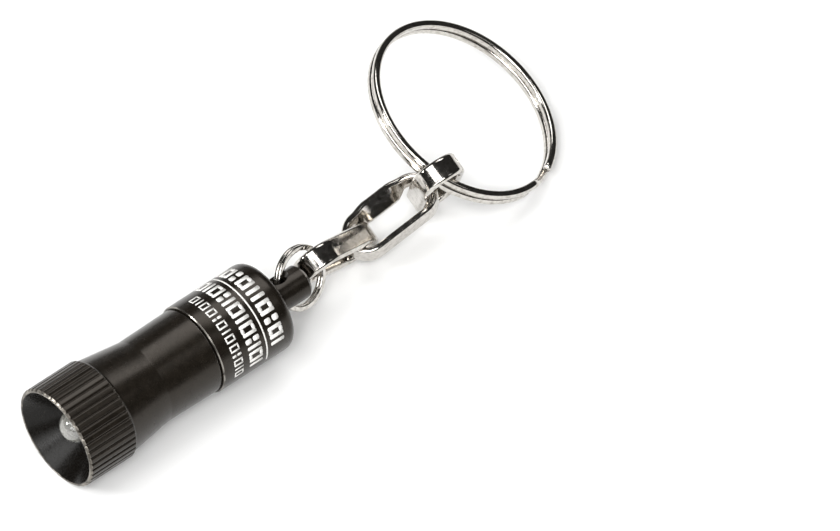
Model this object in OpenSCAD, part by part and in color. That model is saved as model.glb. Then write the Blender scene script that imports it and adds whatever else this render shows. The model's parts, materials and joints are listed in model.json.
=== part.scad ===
// Keychain flashlight: twist-head pocket light on a split ring, three strap links and a key ring.
// Millimetres. The origin is the centre of the front rim, +X runs back along the barrel, +Z is up.
// The light lies on its head, so the surface that it lies on is at Z = -head_d / 2.

/* [Head] */
// Diameter over the fluted grip
head_d = 12.95; // [12.5:0.05:13.5]
// Length of the head, from the front rim to its rear edge
head_len = 20.4; // [20:0.1:20.45]
// Length of the fluted grip
grip_len = 6.8; // [5:0.1:8]
// Number of grip grooves
flute_count = 44; // [16:1:48]
// Diameter at the waist
waist_d = 10.7; // [10.4:0.1:11]
// Distance of the waist behind the front rim
waist_x = 13.0; // [11.5:0.1:14]
// Diameter of the head's rear cylinder
head_rear_d = 10.9; // [10.7:0.1:11.2]
// Diameter of the reflector cup at its mouth
cup_d = 12.1; // [11.6:0.1:12.2]
// Depth of the reflector cup
cup_depth = 5.4; // [4.8:0.1:5.8]

/* [Barrel] */
// Diameter of the barrel
barrel_d = 11.4; // [11:0.1:12]
// Overall length of the light, from rim to neck end
light_len = 37.1; // [36.8:0.1:37.2]
// Distance of the barrel's rear edge behind the front rim
barrel_end_x = 31.2; // [31.1:0.1:31.4]
// Diameter of the key ring neck
neck_d = 4.2; // [4.1:0.1:5]
// Diameter of the cross hole in the neck
cross_hole_d = 2.1; // [2:0.05:2.3]
// Angle of the cross hole about the barrel, up from level
cross_hole_roll = 64; // [0:1:90]

/* [Cells] */
// Diameter of a button cell
cell_d = 7.9; // [7.7:0.05:7.9]
// Height of a button cell
cell_h = 3.6; // [3.5:0.05:3.6]
// Number of cells in the stack
cell_count = 4; // [4:1:4]

/* [Lamp] */
// Diameter of the lamp's dome
led_d = 4.0; // [3.8:0.1:4.2]
// Height of the lamp's lens
led_h = 8.6; // [8:0.1:8.8]

/* [Small split ring] */
// Outer diameter
small_ring_d = 7.9; // [7.8:0.05:8]
// Radial width of the wire
small_wire_w = 0.7; // [0.6:0.05:0.75]
// Height of one coil of the wire
small_wire_h = 0.46; // [0.4:0.02:0.5]

/* [Key ring] */
// Outer diameter
key_ring_d = 24.8; // [24:0.1:26]
// Radial width of the wire
key_wire_w = 0.95; // [0.8:0.05:1.1]
// Height of one coil of the wire
key_wire_h = 0.98; // [0.8:0.02:1]

/* [Chain] */
// Length of a link over its ends
link_len = 12.9; // [12.7:0.1:13.1]
// Width of a link over its sides
link_w = 5.9; // [5.8:0.05:6]
// Width of the strap that a link is made of
strap_w = 2.8; // [2.6:0.05:3]
// Thickness of the strap
strap_t = 1.0; // [0.9:0.05:1.1]

/* [Hidden] */
$fn = 96;
eps = 0.01;

// Head: bores from front to back
rim_chamfer = 0.2;
edge_chamfer = 0.12;                      // at the seam, and at the back of the grip
groove_depth = 0.24;
lamp_bore_r = led_d / 2 + 0.1;
lamp_base_x = 9.7;                        // back of the lamp's flange
lamp_flange_r = 2.5;
lamp_flange_h = 1.0;
flange_pocket_r = lamp_flange_r + 0.12;
flange_stop_x = lamp_base_x - lamp_flange_h - 0.05;
holder_r = 4.45;
holder_bore_r = holder_r + 0.08;
cup_floor_r = 2.6;                        // flat floor round the dome

// Barrel: threaded spigot, bore and neck
spigot_x = 15.2;
spigot_r = 4.85;
thread_bore_r = spigot_r + 0.07;
thread_pitch = 0.75;
thread_depth = 0.2;
thread_turns = 5;
oring_x = 19.75;
oring_wire_r = 0.25;
oring_r = 4.75;                           // to the middle of its section
oring_groove_r = oring_r - oring_wire_r;
oring_bore_r = oring_r + oring_wire_r + 0.1;
shoulder_gap = 0.15;
barrel_x = head_len + shoulder_gap;
sleeve_in_r = cell_d / 2 + 0.03;
sleeve_out_r = sleeve_in_r + 0.14;
barrel_bore_r = sleeve_out_r + 0.03;
holder_stop_x = spigot_x - 0.1;           // front end of the head's thread bore
thread_end_x = oring_x - 0.75;            // back end of the head's thread bore
lead_in = 0.15;                           // length of the cone that guides the seal in
barrel_bore_end = 31.0;
shoulder_x = barrel_end_x + 1.3;          // end of the cone that the neck grows from
shoulder_r = 2.6;
neck_r = neck_d / 2;
neck_chamfer = 0.45;
hole_x = shoulder_x + 1.45;

// Lamp holder and contacts
holder_x = lamp_base_x + 0.05;
holder_end = 14.85;
contact_h = 0.3;
contact_play = 0.02;
pin_r = 0.48;                             // centre contact's pin
cell_x = spigot_x + 0.45;                 // front face of the first cell
lead = 0.5;                               // side of a lamp lead
lead_y = 1.27;                            // half the lead spacing
foot_x = 12.3;                            // where the leads turn
foot_y = 3.6;                             // how far out the post's foot reaches
anvil_x = lamp_base_x - 5.4;              // front of the anvil that carries the die
post_x = lamp_base_x - 5.2;               // front of the post that the die is wired to
die_w = 0.22;
die_h = 0.18;
die_cup_h = 0.3;

// Directions and places of the loose pieces, as they lie on the surface
hole_axis = [0, cos(cross_hole_roll), sin(cross_hole_roll)];
hole_side = [0, sin(cross_hole_roll), -cos(cross_hole_roll)];
small_ring_swing = 11.5;
small_r = small_ring_d / 2 - small_wire_w / 2;
small_ring_reach = 3.3;                   // cross hole to the ring's middle
small_ring_dir = [cos(small_ring_swing), 0, 0] + sin(small_ring_swing) * hole_side;
small_ring_at = [hole_x, 0, 0] + small_ring_reach * small_ring_dir;

link_step = link_len - link_w;            // from one end's centre to the other's
link_1_at = [40.46, 1.09, -0.32];         // centre of the front end's curve
link_1_dir = [0.888, 0.185, -0.420];
link_1_up = [0.011, 0.906, 0.422];
link_2_at = [48.61, 2.12, -2.69];
link_2_dir = [0.969, -0.058, 0.240];
link_2_up = [-0.247, -0.204, 0.947];
link_3_at = [58.73, 2.33, -2.51];
link_3_dir = [-0.210, -0.409, 0.888];
link_3_up = [0.030, 0.905, 0.424];
key_ring_at = [67.33, 7.07, 0.69];
key_ring_axis = [0.379, -0.337, 0.862];

function unit(v) = v / norm(v);
// The part of v that is square to the direction a
function square_to(v, a) = unit(v - (v * a) * a);

// Moves a child drawn in its own X-Y plane to a place, with its X along dir and its Z near up
module lay(at, dir, up) {
    x = unit(dir);
    z = square_to(up, x);
    y = cross(z, x);
    multmatrix([
        [x[0], y[0], z[0], at[0]],
        [x[1], y[1], z[1], at[1]],
        [x[2], y[2], z[2], at[2]],
        [0, 0, 0, 1]
    ]) children();
}

// A solid turned about the X axis from a half outline of [x, r] points
module turned(outline) {
    rotate([0, 90, 0]) rotate([0, 0, 90])
        rotate_extrude() polygon([for (p = outline) [p[1], p[0]]]);
}

// A plain length of bar or hole along X
module bar_x(x0, x1, r) {
    translate([x0, 0, 0]) rotate([0, 90, 0]) cylinder(h = x1 - x0, r = r);
}

// ---------------------------------------------------------------- head

module grip_groove(angle) {
    groove_half = 0.28;
    above = 0.2;
    rotate([angle, 0, 0]) translate([-eps, 0, 0]) rotate([90, 0, 90])
        linear_extrude(grip_len + 2 * eps)
            polygon([
                [0, head_d / 2 - groove_depth],
                [groove_half, head_d / 2 + above],
                [-groove_half, head_d / 2 + above]
            ]);
}

module head() {
    rim_r = head_d / 2;
    color([0.09, 0.09, 0.09]) difference() {
        turned([
            [0, cup_d / 2], [0, rim_r - rim_chamfer], [rim_chamfer, rim_r],
            [grip_len - edge_chamfer, rim_r], [grip_len, rim_r - edge_chamfer],
            [grip_len, rim_r - groove_depth - eps], [waist_x, waist_d / 2],
            [head_len - edge_chamfer, head_rear_d / 2], [head_len, head_rear_d / 2 - edge_chamfer],
            [head_len, oring_bore_r], [thread_end_x + lead_in, oring_bore_r],
            [thread_end_x, thread_bore_r], [holder_stop_x, thread_bore_r], [holder_stop_x, holder_bore_r],
            [lamp_base_x, holder_bore_r], [lamp_base_x, flange_pocket_r],
            [flange_stop_x, flange_pocket_r], [flange_stop_x, lamp_bore_r],
            [cup_depth, lamp_bore_r], [cup_depth, cup_floor_r]
        ]);
        for (i = [0 : flute_count - 1]) grip_groove(i * 360 / flute_count);
    }
}

// ---------------------------------------------------------------- lamp

module led_lens() {
    r = led_d / 2;
    tip_x = lamp_base_x - led_h;
    color([0.95, 0.95, 0.90, 0.5]) difference() {
        union() {
            translate([tip_x + r, 0, 0]) sphere(r);
            bar_x(tip_x + r, lamp_base_x, r);
            bar_x(lamp_base_x - lamp_flange_h, lamp_base_x, lamp_flange_r);
        }
        led_metal();
    }
}

module lead_bar(x0, x1, y, width) {
    translate([x0, y - width / 2, -lead / 2]) cube([x1 - x0, width, lead]);
}

// The small dish in the anvil that the die sits in
module die_dish(depth) {
    translate([anvil_x - eps, 0, 0]) rotate([0, 90, 0]) cylinder(h = depth, r1 = 0.24, r2 = 0.18);
}

module anvil_shape() {
    head_h = 2.2;
    difference() {
        union() {
            lead_bar(anvil_x, anvil_x + head_h, -0.55, 1.6);
            lead_bar(anvil_x + head_h - 0.2, foot_x, -lead_y, lead);
        }
        die_dish(die_cup_h);
    }
}

module post_shape() {
    head_h = 1.2;
    lead_bar(post_x, post_x + head_h, 0.95, 0.9);
    lead_bar(post_x + head_h - 0.2, foot_x, lead_y, lead);
}

module die_shape() {
    translate([anvil_x + 0.1, -die_w / 2, -die_w / 2]) cube([die_h, die_w, die_w]);
}

// All the room that the lens leaves for the metal cast into it
module led_metal() {
    anvil_shape();
    post_shape();
    die_shape();
    die_dish(die_cup_h);
}

module led_anvil() {
    color([0.8, 0.8, 0.78]) union() {
        anvil_shape();
        lead_bar(foot_x - lead, foot_x, -lead_y / 2, lead_y + lead);
    }
}

module led_post() {
    color([0.8, 0.8, 0.78]) union() {
        post_shape();
        lead_bar(foot_x - lead, foot_x, (lead_y + foot_y) / 2, foot_y - lead_y + lead);
    }
}

module led_die() {
    color([0.9, 0.85, 0.3]) die_shape();
}

module led_holder() {
    slot = lead + 0.1;
    slot_len = foot_x - holder_x + 0.05;
    foot_play = 0.07;
    color([0.92, 0.92, 0.88]) difference() {
        bar_x(holder_x, holder_end, holder_r);
        translate([holder_x - eps, -lead_y - slot / 2, -slot / 2])
            cube([slot_len, lead_y + slot + foot_play, slot]);
        translate([holder_x - eps, lead_y - slot / 2, -slot / 2])
            cube([slot_len, foot_y - lead_y + slot, slot]);
        bar_x(foot_x, holder_end + eps, pin_r + contact_play);
        translate([foot_x, foot_y - slot / 2, -slot / 2]) cube([holder_end - foot_x + eps, slot, slot]);
    }
}

module centre_contact() {
    pin_x = foot_x + contact_play;
    plate_x = holder_end + contact_play;
    plate_r = 1.5;
    button_x = cell_x - 0.06;
    color([0.82, 0.68, 0.36]) turned([
        [pin_x, 0], [pin_x, pin_r], [plate_x, pin_r], [plate_x, plate_r],
        [holder_end + contact_h, plate_r], [cell_x - 0.25, 0.95], [button_x, 0.7], [button_x, 0]
    ]);
}

module side_contact() {
    washer_x = holder_end + contact_play;
    washer_in_r = 3.3;
    washer_r = holder_r - 0.05;
    tab_t = 0.4;
    color([0.82, 0.68, 0.36]) union() {
        turned([
            [washer_x, washer_in_r], [washer_x, washer_r],
            [holder_end + contact_h, washer_r], [holder_end + contact_h, washer_in_r]
        ]);
        translate([foot_x + contact_play, foot_y - tab_t / 2, -lead / 2])
            cube([holder_end - foot_x + 0.1, tab_t, lead]);
    }
}

// ---------------------------------------------------------------- barrel

module barrel() {
    thread_x = spigot_x + 0.3;
    root_r = spigot_r - thread_depth;
    groove_half = oring_wire_r + 0.1;
    crest = [for (i = [0 : thread_turns - 1]) each [
        [thread_x + i * thread_pitch, root_r],
        [thread_x + (i + 0.35) * thread_pitch, spigot_r],
        [thread_x + (i + 0.65) * thread_pitch, spigot_r]
    ]];
    color([0.09, 0.09, 0.09]) difference() {
        turned(concat(
            [[spigot_x, barrel_bore_r], [spigot_x, root_r]],
            crest,
            [
                [thread_x + thread_turns * thread_pitch, root_r], [oring_x - groove_half, root_r],
                [oring_x - groove_half, oring_groove_r], [oring_x + groove_half, oring_groove_r],
                [oring_x + groove_half, spigot_r], [barrel_x, spigot_r],
                [barrel_x, barrel_d / 2 - edge_chamfer], [barrel_x + edge_chamfer, barrel_d / 2],
                [barrel_end_x, barrel_d / 2], [shoulder_x, shoulder_r], [shoulder_x + 0.2, neck_r],
                [light_len - neck_chamfer, neck_r], [light_len, neck_r - neck_chamfer],
                [light_len, 0], [barrel_bore_end, 0], [barrel_bore_end, barrel_bore_r]
            ]
        ));
        lay([hole_x, 0, 0], [1, 0, 0], hole_axis)
            cylinder(h = 2 * neck_d, r = cross_hole_d / 2, center = true);
    }
}

module barrel_oring() {
    color([0.05, 0.05, 0.05]) translate([oring_x, 0, 0]) rotate([0, 90, 0])
        rotate_extrude() translate([oring_r, 0]) circle(oring_wire_r, $fn = 24);
}

module cell_sleeve() {
    color([0.85, 0.85, 0.82]) difference() {
        bar_x(cell_x + 0.05, cell_x + cell_count * cell_h - 0.05, sleeve_out_r);
        bar_x(cell_x, cell_x + cell_count * cell_h, sleeve_in_r);
    }
}

// A round wire swept along a list of points, closed with flat ends
module wire(points, r, sides) {
    n = len(points);
    rings = [for (i = [0 : n - 1])
        let (
            ahead = unit(points[min(i + 1, n - 1)] - points[max(i - 1, 0)]),
            across = square_to([1, 0, 0], ahead),
            third = cross(ahead, across)
        )
        for (k = [0 : sides - 1])
            points[i] + r * (cos(360 * k / sides) * across + sin(360 * k / sides) * third)];
    faces = concat(
        [[for (k = [0 : sides - 1]) k]],
        [for (i = [0 : n - 2], k = [0 : sides - 1]) let (j = (k + 1) % sides)
            [i * sides + k, (i + 1) * sides + k, (i + 1) * sides + j, i * sides + j]],
        [[for (k = [sides - 1 : -1 : 0]) (n - 1) * sides + k]]
    );
    polyhedron(rings, faces, convexity = 6);
}

module tail_spring() {
    wire_r = 0.14;
    turns = 2.5;
    front_r = 1.6;
    growth = 1.6;                         // how much wider the coil is at its back
    play = 0.02;
    x0 = cell_x + cell_count * cell_h + wire_r + play;
    x1 = barrel_bore_end - wire_r - play;
    steps = 48;
    color([0.75, 0.75, 0.72]) wire([for (i = [0 : steps])
        let (s = i / steps, r = front_r + growth * s, a = 360 * turns * s)
        [x0 + (x1 - x0) * s, r * cos(a), r * sin(a)]], wire_r, 8);
}

// ---------------------------------------------------------------- cells

can_wall = 0.25;
crimp_h = 3.2;                            // height of the can over its crimp
gasket_t = 0.3;
cap_r = 3.2;
cap_top_r = 2.75;

function cell_front(i) = cell_x + (i - 1) * cell_h;

module cell_can(i) {
    x = cell_front(i);
    r = cell_d / 2;
    color([0.80, 0.80, 0.78]) turned([
        [x, 0], [x, r - 0.25], [x + 0.25, r], [x + crimp_h - 0.3, r], [x + crimp_h, r - 0.3],
        [x + crimp_h, cap_r + gasket_t - 0.1], [x + crimp_h - 0.25, r - can_wall],
        [x + 0.3, r - can_wall], [x + 0.3, 0]
    ]);
}

module cell_gasket(i) {
    x = cell_front(i);
    out_r = cell_d / 2 - can_wall - 0.01;
    color([0.2, 0.35, 0.75]) turned([
        [x + 1.3, cap_r + 0.02], [x + 1.3, out_r], [x + crimp_h - 0.3, out_r],
        [x + crimp_h - 0.05, cap_r + gasket_t - 0.15], [x + crimp_h + 0.02, cap_r + 0.06],
        [x + crimp_h - 0.25, cap_r + 0.02]
    ]);
}

module cell_cap(i) {
    x = cell_front(i);
    color([0.84, 0.84, 0.82]) turned([
        [x + 1.32, 0], [x + 1.32, cap_r], [x + crimp_h - 0.3, cap_r], [x + crimp_h, cap_top_r + 0.1],
        [x + cell_h - 0.12, cap_top_r], [x + cell_h, cap_top_r - 0.15], [x + cell_h, 0]
    ]);
}

// ---------------------------------------------------------------- rings and chain

// A double-coil split ring about Z: two flat coils, each with its own free end, that are one
// wire along a short arc
module split_ring(outer_d, wire_w, wire_h) {
    slit = 0.03;
    joined = 30;                          // arc over which the coils are one
    free_gap = 8;                         // arc between a free end and the joined stretch
    in_r = outer_d / 2 - wire_w;
    edge = 0.12 * wire_h;
    module coil(z0, z1, from) {
        rotate([0, 0, from]) rotate_extrude(angle = 360 - free_gap) polygon([
            [in_r + edge, z0], [outer_d / 2 - edge, z0], [outer_d / 2, z0 + edge],
            [outer_d / 2, z1 - edge], [outer_d / 2 - edge, z1], [in_r + edge, z1],
            [in_r, z1 - edge], [in_r, z0 + edge]
        ]);
    }
    module bridge() {
        rotate([0, 0, joined / 4]) rotate_extrude(angle = joined / 2)
            translate([in_r + wire_w / 4, -wire_h / 2]) square([wire_w / 2, wire_h]);
    }
    union() {
        coil(slit / 2, wire_h, 0);
        coil(-wire_h, -slit / 2, joined - 360 + free_gap);
        bridge();
    }
}

module tail_ring() {
    color([0.78, 0.78, 0.76])
        lay(small_ring_at, small_ring_dir, cross(small_ring_dir, hole_axis))
            rotate([0, 0, 150]) split_ring(small_ring_d, small_wire_w, small_wire_h);
}

module key_ring() {
    color([0.80, 0.80, 0.78])
        lay(key_ring_at, square_to([1, 0, 0], key_ring_axis), key_ring_axis)
            rotate([0, 0, 20]) split_ring(key_ring_d, key_wire_w, key_wire_h);
}

// A strap link in its X-Y plane: the centre of one end's curve is at the origin, the other is along +X
module strap_link() {
    mid_r = (link_w - strap_t) / 2;
    bevel = 0.3;
    module strap() {
        h = strap_w / 2;
        t = strap_t / 2;
        polygon([
            [-t + bevel, -h], [t - bevel, -h], [t, -h + bevel], [t, h - bevel],
            [t - bevel, h], [-t + bevel, h], [-t, h - bevel], [-t, -h + bevel]
        ]);
    }
    module bend() rotate_extrude(angle = 180) translate([mid_r, 0]) strap();
    union() {
        rotate([0, 0, 90]) bend();
        translate([link_step, 0, 0]) rotate([0, 0, -90]) bend();
        for (side = [-1, 1]) translate([0, side * mid_r, 0]) rotate([90, 0, 90])
            linear_extrude(link_step) strap();
    }
}

module chain_link_1() { color([0.80, 0.80, 0.78]) lay(link_1_at, link_1_dir, link_1_up) strap_link(); }
module chain_link_2() { color([0.80, 0.80, 0.78]) lay(link_2_at, link_2_dir, link_2_up) strap_link(); }
module chain_link_3() { color([0.80, 0.80, 0.78]) lay(link_3_at, link_3_dir, link_3_up) strap_link(); }

head();
led_lens();
led_anvil();
led_post();
led_die();
led_holder();
centre_contact();
side_contact();
barrel();
barrel_oring();
cell_sleeve();
tail_spring();
cell_can(1);  // cell_1_can
cell_gasket(1);  // cell_1_gasket
cell_cap(1);  // cell_1_cap
cell_can(2);  // cell_2_can
cell_gasket(2);  // cell_2_gasket
cell_cap(2);  // cell_2_cap
cell_can(3);  // cell_3_can
cell_gasket(3);  // cell_3_gasket
cell_cap(3);  // cell_3_cap
cell_can(4);  // cell_4_can
cell_gasket(4);  // cell_4_gasket
cell_cap(4);  // cell_4_cap
tail_ring();
chain_link_1();
chain_link_2();
chain_link_3();
key_ring();
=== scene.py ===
"""Keychain flashlight on a strap chain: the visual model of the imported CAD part, in its frame.

Blender's units are metres. The outlines of turned parts and the print are given in millimetres."""
import json
import math

import bpy
import numpy as np
from mathutils import Matrix, Vector


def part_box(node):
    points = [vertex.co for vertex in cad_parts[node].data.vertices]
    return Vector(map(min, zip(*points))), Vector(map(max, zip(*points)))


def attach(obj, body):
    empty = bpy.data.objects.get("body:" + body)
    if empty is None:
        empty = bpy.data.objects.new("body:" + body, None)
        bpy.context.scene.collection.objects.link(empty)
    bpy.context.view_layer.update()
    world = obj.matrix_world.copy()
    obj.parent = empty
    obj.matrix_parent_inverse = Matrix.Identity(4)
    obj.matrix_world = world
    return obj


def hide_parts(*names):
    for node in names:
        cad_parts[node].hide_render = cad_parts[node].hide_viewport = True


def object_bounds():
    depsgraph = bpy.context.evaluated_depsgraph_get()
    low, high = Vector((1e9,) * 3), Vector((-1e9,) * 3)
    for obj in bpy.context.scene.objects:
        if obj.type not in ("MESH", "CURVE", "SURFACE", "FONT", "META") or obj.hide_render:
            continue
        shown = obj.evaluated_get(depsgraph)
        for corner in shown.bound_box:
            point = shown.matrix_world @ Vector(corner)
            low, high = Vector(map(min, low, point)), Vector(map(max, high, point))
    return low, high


MM = 0.001
TAU = 2 * math.pi

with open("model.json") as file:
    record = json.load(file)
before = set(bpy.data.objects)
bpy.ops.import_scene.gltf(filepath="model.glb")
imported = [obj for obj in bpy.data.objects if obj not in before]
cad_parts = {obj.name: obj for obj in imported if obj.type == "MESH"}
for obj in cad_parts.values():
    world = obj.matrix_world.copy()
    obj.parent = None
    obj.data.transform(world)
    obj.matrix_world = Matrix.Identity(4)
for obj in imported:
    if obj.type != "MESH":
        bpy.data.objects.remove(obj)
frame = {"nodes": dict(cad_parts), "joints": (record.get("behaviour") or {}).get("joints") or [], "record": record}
cad_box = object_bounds()
nodes = frame["nodes"]
joints = {joint["name"]: joint for joint in frame["joints"]}
floor_z = cad_box[0][2]


# ---------------------------------------------------------------- camera

RIGHT = Vector((0.763, -0.646, 0.0)).normalized()
BACK = Vector((-0.418, -0.493, 0.763))                  # from the object to the camera
BACK = (BACK - RIGHT * BACK.dot(RIGHT)).normalized()    # square to RIGHT
VIEW_WIDTH = 96.6 * MM
VIEW_CENTRE = (41.9 * MM, 19.9 * MM)                    # along RIGHT and up, from the origin
CAMERA_DISTANCE = 2600 * MM
SENSOR = 36.0


def make_camera():
    up = BACK.cross(RIGHT)
    data = bpy.data.cameras.new("camera")
    data.sensor_width = SENSOR
    data.lens = SENSOR * CAMERA_DISTANCE / VIEW_WIDTH
    data.clip_start = 0.01
    data.clip_end = 20
    camera = bpy.data.objects.new("camera", data)
    target = RIGHT * VIEW_CENTRE[0] + up * VIEW_CENTRE[1]
    place = Matrix((RIGHT, up, BACK)).transposed().to_4x4()
    place.translation = target + BACK * CAMERA_DISTANCE
    camera.matrix_world = place
    bpy.context.collection.objects.link(camera)
    bpy.context.scene.camera = camera


make_camera()


# ---------------------------------------------------------------- materials

def new_material(name, color, metallic=0.0, roughness=0.4, **sockets):
    material = bpy.data.materials.new(name)
    material.use_nodes = True
    shader = material.node_tree.nodes["Principled BSDF"]
    shader.inputs["Base Color"].default_value = (*color, 1)
    shader.inputs["Metallic"].default_value = metallic
    shader.inputs["Roughness"].default_value = roughness
    for socket, value in sockets.items():
        shader.inputs[socket.replace("_", " ")].default_value = value
    return material


def add_node(material, kind, **settings):
    node = material.node_tree.nodes.new(kind)
    for key, value in settings.items():
        if key in node.inputs:
            node.inputs[key].default_value = value
        else:
            setattr(node, key, value)
    return node


def object_position(material, stretch=(1, 1, 1)):
    """The point on the object, in millimetres, each axis multiplied by stretch."""
    position = add_node(material, "ShaderNodeTexCoord").outputs["Object"]
    scale = add_node(material, "ShaderNodeMapping")
    scale.inputs["Scale"].default_value = [s / MM for s in stretch]
    material.node_tree.links.new(position, scale.inputs["Vector"])
    return scale.outputs["Vector"]


def noise(material, scale, detail=3.0, stretch=(1, 1, 1)):
    """Noise with scale features per millimetre."""
    texture = add_node(material, "ShaderNodeTexNoise", Scale=scale, Detail=detail)
    material.node_tree.links.new(object_position(material, stretch), texture.inputs["Vector"])
    return texture.outputs["Fac"]


def ramp(material, value, low, high, start=0.3, end=0.7):
    """Maps value to a number between low and high."""
    mapping = add_node(material, "ShaderNodeMapRange")
    for name, number in (("From Min", start), ("From Max", end), ("To Min", low), ("To Max", high)):
        mapping.inputs[name].default_value = number
    material.node_tree.links.new(value, mapping.inputs["Value"])
    return mapping.outputs["Result"]


def vary_color(material, value, dark, light, start=0.35, end=0.65):
    colors = add_node(material, "ShaderNodeValToRGB")
    colors.color_ramp.elements[0].position = start
    colors.color_ramp.elements[0].color = (*dark, 1)
    colors.color_ramp.elements[1].position = end
    colors.color_ramp.elements[1].color = (*light, 1)
    shader = material.node_tree.nodes["Principled BSDF"]
    material.node_tree.links.new(value, colors.inputs["Fac"])
    material.node_tree.links.new(colors.outputs["Color"], shader.inputs["Base Color"])


def vary_roughness(material, value, low, high):
    shader = material.node_tree.nodes["Principled BSDF"]
    material.node_tree.links.new(ramp(material, value, low, high), shader.inputs["Roughness"])


def add_bump(material, heights, strength, distance):
    """Bump from one or more height outputs, added together. distance is in metres."""
    total = heights[0]
    for other in heights[1:]:
        adder = add_node(material, "ShaderNodeMath", operation="ADD")
        material.node_tree.links.new(total, adder.inputs[0])
        material.node_tree.links.new(other, adder.inputs[1])
        total = adder.outputs[0]
    bump = add_node(material, "ShaderNodeBump", Strength=strength, Distance=distance)
    shader = material.node_tree.nodes["Principled BSDF"]
    material.node_tree.links.new(total, bump.inputs["Height"])
    material.node_tree.links.new(bump.outputs["Normal"], shader.inputs["Normal"])


def anodised_material():
    """Black anodising over a fine bead-blasted and turned surface."""
    material = new_material("anodised_black", (0.009, 0.0072, 0.0052), roughness=0.24, Specular_IOR_Level=0.36)
    material.node_tree.nodes["Principled BSDF"].inputs["Specular Tint"].default_value = (1.0, 0.9, 0.8, 1)
    vary_color(material, noise(material, 1.2), (0.007, 0.0056, 0.004), (0.0115, 0.0092, 0.0068))
    vary_roughness(material, noise(material, 2.5), 0.22, 0.28)
    grain = noise(material, 14, detail=4)
    turned = noise(material, 9, detail=2, stretch=(1, 0.05, 0.05))
    add_bump(material, [grain, turned], 0.1, 0.004 * MM)
    return material


def cup_material():
    """The turned inside of the lamp cup: rings of tool marks under the anodising. Its base colour and reflection
    are darker than the outer anodising's: painted shade inside the cup.
    """
    # Darker base colour and lower specular level than the outer anodising: painted shade in the cup.
    material = new_material("anodised_cup", (0.004, 0.0033, 0.0025), roughness=0.28, Specular_IOR_Level=0.22)
    vary_roughness(material, noise(material, 3), 0.22, 0.32)
    marks = noise(material, 12, detail=1, stretch=(1, 0.02, 0.02))
    add_bump(material, [marks], 0.35, 0.02 * MM)
    return material


def edge_material(name, dark, light, metallic, roughness):
    """An edge lighter and more metallic than the anodising: rubbed through to aluminium on the rim, a painted
    sheen on the grip's end and on the seam.
    """
    material = new_material(name, light, metallic=metallic, roughness=roughness)
    vary_color(material, noise(material, 0.9), dark, light, 0.35, 0.6)
    vary_roughness(material, noise(material, 6), roughness * 0.8, roughness * 1.25)
    return material


def nickel_material():
    """Polished nickel plate with faint smears, handling marks and fine scratches."""
    material = new_material("polished_nickel", (0.60, 0.575, 0.54), metallic=1.0, roughness=0.09)
    vary_color(material, noise(material, 2.2, detail=5), (0.40, 0.375, 0.34), (0.64, 0.615, 0.58), 0.3, 0.55)
    vary_roughness(material, noise(material, 1.6), 0.06, 0.15)
    add_bump(material, [noise(material, 2.0, detail=2), noise(material, 9, detail=3)], 0.16, 0.02 * MM)
    return material


def print_material():
    """White pad print, slightly uneven where it sits on the blasted surface."""
    material = new_material("white_print", (0.8, 0.79, 0.76), roughness=0.55)
    vary_color(material, noise(material, 7), (0.55, 0.54, 0.51), (0.86, 0.85, 0.82), 0.3, 0.5)
    return material


def lens_material():
    material = new_material("clear_epoxy", (0.86, 0.85, 0.78), roughness=0.05, IOR=1.5, Coat_Weight=1.0)
    material.node_tree.nodes["Principled BSDF"].inputs["Transmission Weight"].default_value = 0.8
    vary_color(material, noise(material, 0.6), (0.86, 0.85, 0.77), (0.95, 0.94, 0.90))
    vary_roughness(material, noise(material, 1.5), 0.03, 0.07)
    return material


def plain_metal_material(name, dark, light, roughness):
    material = new_material(name, light, metallic=1.0, roughness=roughness)
    vary_color(material, noise(material, 2), dark, light)
    vary_roughness(material, noise(material, 5), roughness * 0.8, roughness * 1.3)
    add_bump(material, [noise(material, 8)], 0.1, 0.01 * MM)
    return material


def moulded_material(name, dark, light, roughness):
    material = new_material(name, light, roughness=roughness)
    vary_color(material, noise(material, 1.5), dark, light)
    vary_roughness(material, noise(material, 4), roughness * 0.85, min(1, roughness * 1.15))
    add_bump(material, [noise(material, 10)], 0.15, 0.01 * MM)
    return material


anodised = anodised_material()
cup_marks_and_shade = cup_material()
worn_rim = edge_material("worn_rim", (0.06, 0.053, 0.045), (0.26, 0.24, 0.21), 0.85, 0.3)
# Grip's end chamfer: a lighter, more metallic colour, painted sheen along the edge.
grip_edge_sheen = edge_material("grip_edge_sheen", (0.012, 0.01, 0.008), (0.10, 0.09, 0.075), 0.5, 0.25)
# Seam chamfers: a lighter, more metallic colour, painted sheen along both edges of the seam.
painted_seam_sheen = edge_material("painted_seam_sheen", (0.05, 0.046, 0.04), (0.26, 0.245, 0.22), 0.7, 0.2)
nickel = nickel_material()
white_print = print_material()
clear_epoxy = lens_material()
SLOT_MATERIALS = {
    "anodised": anodised,
    "nickel": nickel,
    "lens_clear": clear_epoxy,
    "lead_metal": plain_metal_material("tinned_lead", (0.55, 0.55, 0.53), (0.78, 0.78, 0.75), 0.25),
    "phosphor": moulded_material("lamp_phosphor", (0.80, 0.66, 0.10), (0.92, 0.80, 0.22), 0.6),
    "holder_plastic": moulded_material("holder_nylon", (0.74, 0.72, 0.64), (0.84, 0.82, 0.75), 0.5),
    "contact_brass": plain_metal_material("contact_brass", (0.62, 0.45, 0.18), (0.82, 0.64, 0.30), 0.22),
    "seal_rubber": moulded_material("seal_rubber", (0.012, 0.012, 0.012), (0.025, 0.025, 0.025), 0.6),
    "sleeve_plastic": moulded_material("sleeve_film", (0.76, 0.76, 0.72), (0.86, 0.86, 0.83), 0.3),
    "cell_steel": plain_metal_material("cell_steel", (0.50, 0.50, 0.48), (0.70, 0.70, 0.68), 0.2),
    "gasket_plastic": moulded_material("gasket_nylon", (0.08, 0.16, 0.42), (0.12, 0.24, 0.55), 0.5),
}


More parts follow.
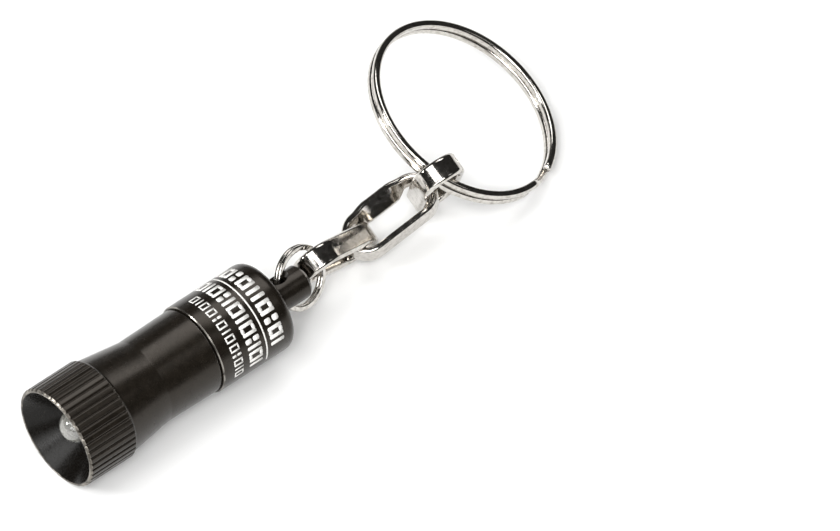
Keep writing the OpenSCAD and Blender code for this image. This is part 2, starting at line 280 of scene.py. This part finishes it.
def dress_cad_nodes():
    for part in frame["record"]["subparts"]:
        mesh = nodes[part["node"]].data
        mesh.materials.clear()
        mesh.materials.append(SLOT_MATERIALS[part["material_slot"]])


dress_cad_nodes()


# ---------------------------------------------------------------- mesh helpers

def make_piece(name, points, faces, materials, body, face_materials=None):
    """A smooth mesh that rides on a body."""
    mesh = bpy.data.meshes.new(name)
    mesh.from_pydata([tuple(p) for p in points], [], faces)
    for material in materials:
        mesh.materials.append(material)
    if face_materials is not None:
        mesh.polygons.foreach_set("material_index", face_materials)
    mesh.polygons.foreach_set("use_smooth", [True] * len(faces))
    mesh.update()
    mesh.validate()
    piece = bpy.data.objects.new(name, mesh)
    bpy.context.collection.objects.link(piece)
    even_normals = piece.modifiers.new("even_normals", "WEIGHTED_NORMAL")
    even_normals.keep_sharp = True
    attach(piece, body)
    return piece


def fillet(previous, corner, following, radius, steps=4):
    """The points of an arc that rounds a corner of an outline."""
    back = previous - corner
    ahead = following - corner
    half = (math.pi - back.angle(ahead)) / 2
    cut = min(radius * math.tan(half), back.length * 0.49, ahead.length * 0.49)
    if cut < 1e-9:
        return [corner]
    start = corner + back.normalized() * cut
    end = corner + ahead.normalized() * cut
    return [
        (1 - t) ** 2 * start + 2 * t * (1 - t) * corner + t ** 2 * end
        for t in (step / steps for step in range(steps + 1))
    ]


def outline(corners, longest):
    """A closed outline from (x, r, fillet, finish) corners, in millimetres. Returns points and finishes.

    A stretch longer than longest is divided, and takes the finish of the corner that it starts from.
    A rounded corner takes the higher finish of the two stretches that it joins."""
    points = []
    finishes = []
    count = len(corners)
    flat = [Vector((x, r)) for x, r, _, _ in corners]
    for i, (_, _, radius, finish) in enumerate(corners):
        arc = fillet(flat[i - 1], flat[i], flat[(i + 1) % count], radius) if radius else [flat[i]]
        points += arc
        finishes += [max(finish, corners[i - 1][3])] * (len(arc) - 1) + [finish]
    divided = []
    divided_finishes = []
    for i, point in enumerate(points):
        following = points[(i + 1) % len(points)]
        parts = max(1, math.ceil((following - point).length / longest))
        for part in range(parts):
            divided.append(point.lerp(following, part / parts))
            divided_finishes.append(finishes[i])
    return divided, divided_finishes


def revolve(name, corners, segments, materials, body, longest=2.0, radial_cut=None):
    """Turns a closed outline about the X axis. radial_cut(x, angle, r) gives the depth cut away there."""
    points, finishes = outline(corners, longest)
    ring = len(points)
    vertices = []
    for k in range(segments):
        angle = TAU * k / segments
        for x, r in points:
            depth = radial_cut(x, angle, r) if radial_cut else 0.0
            vertices.append((x * MM, (r - depth) * math.cos(angle) * MM, (r - depth) * math.sin(angle) * MM))
    faces = []
    face_materials = []
    for k in range(segments):
        after = (k + 1) % segments
        for i in range(ring):
            j = (i + 1) % ring
            faces.append((k * ring + i, after * ring + i, after * ring + j, k * ring + j))
            face_materials.append(finishes[i])
    return make_piece(name, vertices, faces, materials, body, face_materials)


def rounded_section(width, height, corner, steps=5):
    """Points round a rectangle with rounded corners, as (across, along) pairs."""
    points = []
    for quarter in range(4):
        across = (width / 2 - corner) * (1 if quarter in (0, 3) else -1)
        along = (height / 2 - corner) * (1 if quarter in (0, 1) else -1)
        for step in range(steps + 1):
            angle = math.pi / 2 * (quarter + step / steps)
            points.append((across + corner * math.cos(angle), along + corner * math.sin(angle)))
    return points


def sweep(stations, section, closed):
    """Sweeps a section along stations of (centre, across, along, scale). Returns points and faces."""
    points = []
    faces = []
    count = len(section)
    for centre, across, along, scale in stations:
        points += [centre + across * (u * scale) + along * (v * scale) for u, v in section]
    last = len(stations) if closed else len(stations) - 1
    for i in range(last):
        j = (i + 1) % len(stations)
        for k in range(count):
            after = (k + 1) % count
            faces.append((i * count + k, i * count + after, j * count + after, j * count + k))
    if not closed:
        faces.append(tuple(range(count - 1, -1, -1)))
        faces.append(tuple((len(stations) - 1) * count + k for k in range(count)))
    return points, faces


# ---------------------------------------------------------------- head

head_high = Vector(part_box("head")[1]) / MM
head_r = head_high.z
head_end = head_high.x
lens_low, lens_high = (Vector(corner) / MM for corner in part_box("led_lens"))
barrel_low, barrel_high = (Vector(corner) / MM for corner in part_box("barrel"))
barrel_r = barrel_high.z

ANODISED, GRIP_EDGE, CUP, RIM, SEAM = 0, 1, 2, 3, 4     # places in BODY_FINISHES
BODY_FINISHES = [anodised, grip_edge_sheen, cup_marks_and_shade, worn_rim, painted_seam_sheen]
ON_AXIS = 0.01                                          # radius at which an outline starts or ends
FLUTES = 44
SEGMENTS_PER_FLUTE = 10
GRIP_LENGTH = 6.8
FLUTE_DEPTH = 0.24
FLUTE_HALF_WIDTH = 0.15
WAIST_X = 13.0
WAIST_R = 5.35
REAR_R = 5.45
LAMP_R = 2.0
CUP_MOUTH_R = 6.05
CUP_FLOOR_X = 5.4
CUP_FLOOR_R = 2.6
RIM_CHAMFER = 0.2
SEAM_CHAMFER = 0.12
HOLDER_R = 4.53
THREAD_BORE_R = 4.92
THREAD_START_X = 15.1
THREAD_END_X = 19.0
REAR_BORE_R = 5.1
LENS_SEAT = 1.05                                        # length of the lens flange's seat
LENS_PLAY = 0.1
FLANGE_PLAY = 0.12


def flute_cut(x, angle, r):
    """Depth of the V-shaped flutes, which end at the step behind the grip."""
    inside = CUP_MOUTH_R + 0.02
    if r < inside or x > GRIP_LENGTH:
        return 0.0
    pitch = TAU / FLUTES
    across = abs((angle + pitch / 2) % pitch - pitch / 2) * r
    floor_r = head_r - FLUTE_DEPTH * max(0.0, 1.0 - across / FLUTE_HALF_WIDTH)
    return max(0.0, r - floor_r)


def make_head():
    seat_r = lens_high.z + FLANGE_PLAY
    seat_x = lens_high.x
    hole_r = LAMP_R + LENS_PLAY
    corners = [
        (0.0, CUP_MOUTH_R, 0.06, RIM),
        (0.0, head_r - RIM_CHAMFER, 0.05, RIM),
        (RIM_CHAMFER, head_r, 0.06, ANODISED),
        (GRIP_LENGTH - SEAM_CHAMFER, head_r, 0.03, GRIP_EDGE),
        (GRIP_LENGTH, head_r - SEAM_CHAMFER, 0.03, ANODISED),
        (GRIP_LENGTH + 0.01, head_r - FLUTE_DEPTH - 0.02, 0.0, ANODISED),
        (WAIST_X, WAIST_R, 1.5, ANODISED),
        (head_end - SEAM_CHAMFER, REAR_R, 0.04, SEAM),
        (head_end, REAR_R - SEAM_CHAMFER, 0.03, ANODISED),
        (head_end, REAR_BORE_R, 0.05, ANODISED),
        (THREAD_END_X + 0.1, REAR_BORE_R, 0.0, ANODISED),
        (THREAD_END_X, THREAD_BORE_R, 0.0, ANODISED),
        (THREAD_START_X, THREAD_BORE_R, 0.0, ANODISED),
        (THREAD_START_X, HOLDER_R, 0.0, ANODISED),
        (seat_x, HOLDER_R, 0.0, ANODISED),
        (seat_x, seat_r, 0.0, ANODISED),
        (seat_x - LENS_SEAT, seat_r, 0.0, ANODISED),
        (seat_x - LENS_SEAT, hole_r, 0.0, CUP),
        (CUP_FLOOR_X, hole_r, 0.1, CUP),
        (CUP_FLOOR_X, CUP_FLOOR_R, 0.1, CUP),
    ]
    head = revolve("head_shell", corners, FLUTES * SEGMENTS_PER_FLUTE, BODY_FINISHES,
                   "head", longest=0.3, radial_cut=flute_cut)
    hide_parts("head")


def make_lens():
    """The lamp's dome and flange."""
    flange_r = lens_high.z
    flange_x = lens_high.x - 1.0
    dome_x = lens_low.x + LAMP_R
    steps = 16
    angles = [math.pi / 2 * step / steps for step in range(1, steps + 1)]
    dome = [(dome_x - LAMP_R * math.cos(angle), LAMP_R * math.sin(angle), 0, 0) for angle in angles]
    corners = [(lens_low.x, ON_AXIS, 0, 0)] + dome + [
        (flange_x, LAMP_R, 0.1, 0),
        (flange_x, flange_r, 0.12, 0),
        (lens_high.x, flange_r, 0.08, 0),
        (lens_high.x, ON_AXIS, 0, 0),
    ]
    lens = revolve("lamp_lens", corners, 96, [clear_epoxy], "lamp_module")
    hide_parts("led_lens")


make_head()
make_lens()


# ---------------------------------------------------------------- barrel

neck_hole = Vector(joints["tail_ring_swing"]["pos_m"]) / MM
hole_axis = Vector(joints["tail_ring_swing"]["axis"]).normalized()
SHOULDER_X = 31.2
NECK_R = 2.1
HOLE_R = 1.05
BORE_R = 4.15
BORE_END_X = 31.0
THREAD_R = 4.65
GROOVE_R = 4.5                                          # of the o-ring's groove
GROOVE_START_X = 19.4
GROOVE_END_X = 20.1
SPIGOT_R = 4.85
NECK_ROOT_R = 2.6
TAIL_CHAMFER = 0.45
SHARP_ANGLE = 35                                        # degrees
MARK_HEIGHT = 0.012                                     # of the print above the barrel
MARK_STEP = 0.15
LINE_X = 27.0
LINE_ANGLES = (32, 196)                                 # degrees round X, from +Y towards +Z


def make_barrel():
    neck_x = SHOULDER_X + 1.3
    tail_x = barrel_high.x
    front_x = head_end + 0.15
    corners = [
        (barrel_low.x, BORE_R, 0.0, ANODISED),
        (barrel_low.x, THREAD_R, 0.1, ANODISED),
        (GROOVE_START_X, THREAD_R, 0.0, ANODISED),
        (GROOVE_START_X, GROOVE_R, 0.0, ANODISED),
        (GROOVE_END_X, GROOVE_R, 0.0, ANODISED),
        (GROOVE_END_X, SPIGOT_R, 0.05, ANODISED),
        (front_x, SPIGOT_R, 0.0, ANODISED),
        (front_x, barrel_r - SEAM_CHAMFER, 0.03, SEAM),
        (front_x + SEAM_CHAMFER, barrel_r, 0.04, ANODISED),
        (SHOULDER_X, barrel_r, 1.2, ANODISED),
        (neck_x, NECK_ROOT_R, 0.3, ANODISED),
        (neck_x + 0.2, NECK_R, 0.2, ANODISED),
        (tail_x - TAIL_CHAMFER, NECK_R, 0.08, ANODISED),
        (tail_x, NECK_R - TAIL_CHAMFER, 0.08, ANODISED),
        (tail_x, ON_AXIS, 0.0, ANODISED),
        (BORE_END_X, ON_AXIS, 0.0, ANODISED),
        (BORE_END_X, BORE_R, 0.0, ANODISED),
    ]
    barrel = revolve("barrel_shell", corners, 192, BODY_FINISHES, "barrel")
    drill_neck(barrel)
    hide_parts("barrel")


def drill_neck(barrel):
    """Cuts the cross hole, with a countersink at both mouths."""
    turn = hole_axis.to_track_quat("Z", "Y").to_matrix()
    reach = NECK_R + 1.0
    sink = 0.25
    mouth = math.sqrt(NECK_R ** 2 - HOLE_R ** 2)
    profile = [
        (-reach, HOLE_R + sink + reach - NECK_R), (-mouth + sink, HOLE_R),
        (mouth - sink, HOLE_R), (reach, HOLE_R + sink + reach - NECK_R),
    ]
    sides = 48
    points = []
    for z, r in profile:
        for k in range(sides):
            angle = TAU * k / sides
            points.append((neck_hole + turn @ Vector((r * math.cos(angle), r * math.sin(angle), z))) * MM)
    faces = [
        (i * sides + k, i * sides + (k + 1) % sides, (i + 1) * sides + (k + 1) % sides, (i + 1) * sides + k)
        for i in range(len(profile) - 1) for k in range(sides)
    ]
    faces.append(tuple(range(sides - 1, -1, -1)))
    faces.append(tuple((len(profile) - 1) * sides + k for k in range(sides)))
    mesh = bpy.data.meshes.new("neck_drill")
    mesh.from_pydata([tuple(p) for p in points], [], faces)
    mesh.materials.append(anodised)
    drill = bpy.data.objects.new("neck_drill", mesh)
    bpy.context.collection.objects.link(drill)
    cut = barrel.modifiers.new("cross_hole", "BOOLEAN")
    cut.object = drill
    cut.solver = "EXACT"
    bpy.context.view_layer.objects.active = barrel
    barrel.modifiers.move(barrel.modifiers.find("cross_hole"), 0)
    bpy.ops.object.modifier_apply(modifier="cross_hole")
    barrel.data.set_sharp_from_angle(angle=math.radians(SHARP_ANGLE))
    bpy.data.objects.remove(drill)
    bpy.data.meshes.remove(mesh)


def barrel_mark(x, height, angle, width):
    """One printed bar on the barrel: height runs along X, width round the barrel, in millimetres."""
    r = barrel_r + MARK_HEIGHT
    steps = max(3, math.ceil(width / MARK_STEP))
    corner = min(height, width) * 0.18
    points = []
    for layer in (r, barrel_r - MARK_HEIGHT):
        for side in (-1, 1):
            for i in range(steps + 1):
                s = (i / steps - 0.5) * width
                pull = corner if i in (0, steps) else 0.0
                a = angle + s / barrel_r
                points.append(Vector((
                    x + side * (height / 2 - pull), layer * math.cos(a), layer * math.sin(a))) * MM)
    row = steps + 1
    faces = []
    for i in range(steps):
        faces.append((i, i + 1, row + i + 1, row + i))
        faces.append((2 * row + i + 1, 2 * row + i, 3 * row + i, 3 * row + i + 1))
        faces.append((i + 1, i, 2 * row + i, 2 * row + i + 1))
        faces.append((row + i, row + i + 1, 3 * row + i + 1, 3 * row + i))
    faces.append((0, row, 3 * row, 2 * row))
    faces.append((row + steps, steps, 2 * row + steps, 3 * row + steps))
    return points, faces


def sign_strokes(kind, height, stroke, width):
    """The bars of one printed sign as (along X, round the barrel, length, width) from its middle."""
    if kind == "bar":
        return [(0.0, 0.0, height, stroke)]
    if kind == "blocks":
        block = (height - stroke * 0.6) / 2
        return [(side * (height - block) / 2, 0.0, block, stroke * 1.5) for side in (-1, 1)]
    sides = [(0.0, side * (width - stroke) / 2, height, stroke) for side in (-1, 1)]
    ends = [(side * (height - stroke) / 2, 0.0, stroke, width - 2 * stroke) for side in (-1, 1)]
    return sides + ends


def make_print():
    """Rows of plain bars, blocks and frames, where the real barrel is printed, and a thin line."""
    rows = [
        # distance along X, height, stroke, frame width, gap, first and last angle, signs that repeat
        (22.8, 1.3, 0.2, 0.85, 0.4, 62, 186, ("frame", "bar", "frame", "frame", "blocks")),
        (25.35, 1.95, 0.42, 1.5, 0.36, 40, 190, ("frame", "bar", "frame", "blocks", "bar")),
        (28.6, 1.95, 0.5, 1.6, 0.42, 38, 176, ("bar", "frame", "blocks", "frame", "bar")),
    ]
    points = []
    faces = []

    def add_mark(x, height, place, width):
        mark_points, mark_faces = barrel_mark(x, height, place / barrel_r, width)
        faces.extend(tuple(len(points) + index for index in face) for face in mark_faces)
        points.extend(mark_points)

    line_start, line_end = (math.radians(angle) * barrel_r for angle in LINE_ANGLES)
    add_mark(LINE_X, 0.2, (line_start + line_end) / 2, line_end - line_start)
    for x, height, stroke, frame_width, gap, first, last, kinds in rows:
        place = math.radians(first) * barrel_r
        count = 0
        while place < math.radians(last) * barrel_r:
            kind = kinds[count % len(kinds)]
            width = {"bar": stroke, "blocks": stroke * 1.5, "frame": frame_width}[kind]
            for along, around, length, thickness in sign_strokes(kind, height, stroke, width):
                add_mark(x + along, length, place + width / 2 + around, thickness)
            place += width + gap
            count += 1
    make_piece("barrel_print", points, faces, [white_print], "barrel")


make_barrel()
make_print()


# ---------------------------------------------------------------- rings and links

def area_centre(mesh):
    areas = np.array([polygon.area for polygon in mesh.polygons])
    centres = np.array([tuple(polygon.center) for polygon in mesh.polygons])
    return Vector((areas[:, None] * centres).sum(axis=0) / areas.sum())


def mesh_points(mesh):
    return np.array([tuple(vertex.co) for vertex in mesh.vertices])


def ring_layout(node):
    """Centre, axes, outer and inner radius and height of a CAD ring, from its mesh."""
    points = mesh_points(nodes[node].data)
    _, _, axes = np.linalg.svd(points - points.mean(axis=0), full_matrices=False)
    if axes[2][2] < 0:
        axes[2] *= -1
    level = np.cross(axes[2], (0.0, 0.0, 1.0))
    level /= np.linalg.norm(level)
    uphill = np.cross(axes[2], level)
    basis = np.array([level, uphill, axes[2]])
    local = points @ basis.T
    centre = (local.max(axis=0) + local.min(axis=0)) / 2
    distance = np.hypot(local[:, 0] - centre[0], local[:, 1] - centre[1])
    height = np.ptp(local[:, 2])
    return Vector(centre @ basis), [Vector(axis) for axis in basis], distance.max(), distance.min(), height


CROSSING_HALF = math.radians(9)                         # half the angle in which the wire changes layer
END_GAP = math.radians(1.5)                             # from there to the wire's end


def split_ring(node, crossing, body):
    """Two turns of flattened wire that cross from one layer to the other at the angle crossing."""
    centre, (level, uphill, axis), outer, inner, height = ring_layout(node)
    wire_w = (outer - inner) * 0.97
    wire_h = height / 2 * 0.97
    mid_r = (outer + inner) / 2
    start = CROSSING_HALF + END_GAP
    end = 2 * TAU - CROSSING_HALF - END_GAP
    count = 260
    section = rounded_section(wire_w, wire_h, min(wire_w, wire_h) * 0.36)
    stations = []
    for i in range(count + 1):
        angle = start + (end - start) * i / count
        blend = min(1.0, max(0.0, (angle - TAU + CROSSING_HALF) / (2 * CROSSING_HALF)))
        smooth = blend * blend * (3 - 2 * blend)
        layer = height / 4 * (1 - 2 * smooth)
        turn = angle + math.radians(crossing)
        outward = level * math.cos(turn) + uphill * math.sin(turn)
        scale = 0.86 if i in (0, count) else 1.0
        stations.append((centre + outward * mid_r + axis * layer, outward, axis, scale))
    points, faces = sweep(stations, section, closed=False)
    ring = make_piece(f"{node}_wire", points, faces, [nickel], body)
    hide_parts(node)


LEAN_REAR = -0.4 * MM                                   # a side leans from here past the rear end's centre
LEAN_FRONT = 0.4 * MM                                   # to here past the front end's centre
LEAN_RAMP = 2.2 * MM                                    # and takes this far to come and go
LEAN_BULGE = 0.6 * MM                                   # its upper edge stands out by this much


def strap_link(node, lean=0.0):
    """A strap bent into a long loop, with rounded edges. The side with the greater Y leans in by lean degrees.

    The loop's centre, axes and sizes come from the CAD link's mesh."""
    mesh = nodes[node].data
    centre = area_centre(mesh)
    local = mesh_points(mesh) - np.array(centre)
    _, _, axes = np.linalg.svd(local, full_matrices=False)
    half_length, half_width, half_strap = np.abs(local @ axes.T).max(axis=0)
    half_step = half_length - half_width
    along = np.clip(local @ axes[0], -half_step, half_step)
    inner = np.hypot(local @ axes[0] - along, local @ axes[1]).min()
    strap_t = half_width - inner
    mid_r = (half_width + inner) / 2
    ahead, across, normal = (Vector(axis) for axis in axes)
    if normal.z < 0:
        normal = -normal
    if across.y < 0:
        across = -across
    if ahead.x < 0:
        ahead = -ahead
    bend_steps = 36
    side_steps = 12
    spine = []
    for end in (-1, 1):
        for step in range(bend_steps + 1):
            angle = math.pi * (step / bend_steps - 0.5 * end)
            spine.append((ahead * (end * half_step), ahead * math.cos(angle) + across * math.sin(angle)))
        for step in range(1, side_steps):
            spine.append((ahead * (half_step * end * (1 - 2 * step / side_steps)), across * end))
    stations = []
    for slide, outward in spine:
        way = slide.dot(ahead) + outward.dot(ahead) * mid_r
        ease = min(1.0, (way + half_step - LEAN_REAR) / LEAN_RAMP, (half_step + LEAN_FRONT - way) / LEAN_RAMP)
        ease = max(0.0, ease) if outward.dot(across) > 0 else 0.0
        ease = ease * ease * (3 - 2 * ease)
        turn = math.radians(lean) * ease
        leaned = normal * math.cos(turn) + outward * math.sin(turn)
        flat = outward * math.cos(turn) - normal * math.sin(turn)
        bulge = LEAN_BULGE * ease if lean else 0.0
        place = centre + slide + outward * (mid_r + bulge) + (normal - leaned) * half_strap
        stations.append((place, flat, leaned, 1.0))
    section = rounded_section(strap_t * 0.99, 2 * half_strap * 0.99, strap_t * 0.42, steps=6)
    section = [(u * (1 - 0.22 * (v / half_strap) ** 2), v) for u, v in section]
    points, faces = sweep(stations, section, closed=True)
    link = make_piece(f"{node}_strap", points, faces, [nickel], node)
    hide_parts(node)


split_ring("tail_ring", 200, "tail_ring")
strap_link("chain_link_1")
strap_link("chain_link_2", lean=42)
strap_link("chain_link_3")
split_ring("key_ring", 60, "key_ring")


# ---------------------------------------------------------------- stage

def make_floor():
    half = 3.0
    corners = [(-half, -half), (half, -half), (half, half), (-half, half)]
    mesh = bpy.data.meshes.new("floor")
    mesh.from_pydata([(x, y, floor_z) for x, y in corners], [], [(0, 1, 2, 3)])
    material = new_material("floor_paper", (0.9, 0.9, 0.89), roughness=0.9)
    vary_color(material, noise(material, 0.02), (0.89, 0.89, 0.88), (0.91, 0.91, 0.905))
    mesh.materials.append(material)
    floor = bpy.data.objects.new("floor", mesh)
    bpy.context.collection.objects.link(floor)


def soft_box(name, place, aim, width, height, power):
    """A rectangular lamp that faces the point aim. Metres and watts."""
    data = bpy.data.lights.new(name, "AREA")
    data.shape = "RECTANGLE"
    data.size = width
    data.size_y = height
    data.energy = power
    light = bpy.data.objects.new(name, data)
    light.location = place
    light.rotation_euler = (Vector(aim) - Vector(place)).to_track_quat("-Z", "Y").to_euler()
    bpy.context.collection.objects.link(light)


def make_lights():
    middle = (0.04, 0.0, 0.0)
    soft_box("front_box", (-0.46, -0.59, 0.92), middle, 0.6, 0.6, 12.0)
    soft_box("top_box", (-0.50, 0.10, 0.80), middle, 0.6, 0.6, 4.5)
    soft_box("window_box", (0.34, 0.175, 0.62), middle, 0.50, 0.30, 1.5)
    soft_box("second_window", (0.33, -0.38, 0.51), middle, 0.12, 0.30, 0.12)
    soft_box("back_box", (0.45, 0.95, 0.22), middle, 1.2, 0.3, 0.3)
    soft_box("side_box", (-0.70, -0.35, 0.35), middle, 0.5, 0.3, 1.6)
    soft_box("rim_box", (-0.60, 0.39, 0.32), (0.0, 0.0, 0.0), 0.14, 0.14, 2.4)
    world = bpy.data.worlds.new("studio")
    world.use_nodes = True
    world.node_tree.nodes["Background"].inputs["Color"].default_value = (1.0, 0.98, 0.95, 1)
    world.node_tree.nodes["Background"].inputs["Strength"].default_value = 0.03
    bpy.context.scene.world = world
    bpy.context.scene.view_settings.view_transform = "Standard"


make_floor()
make_lights()
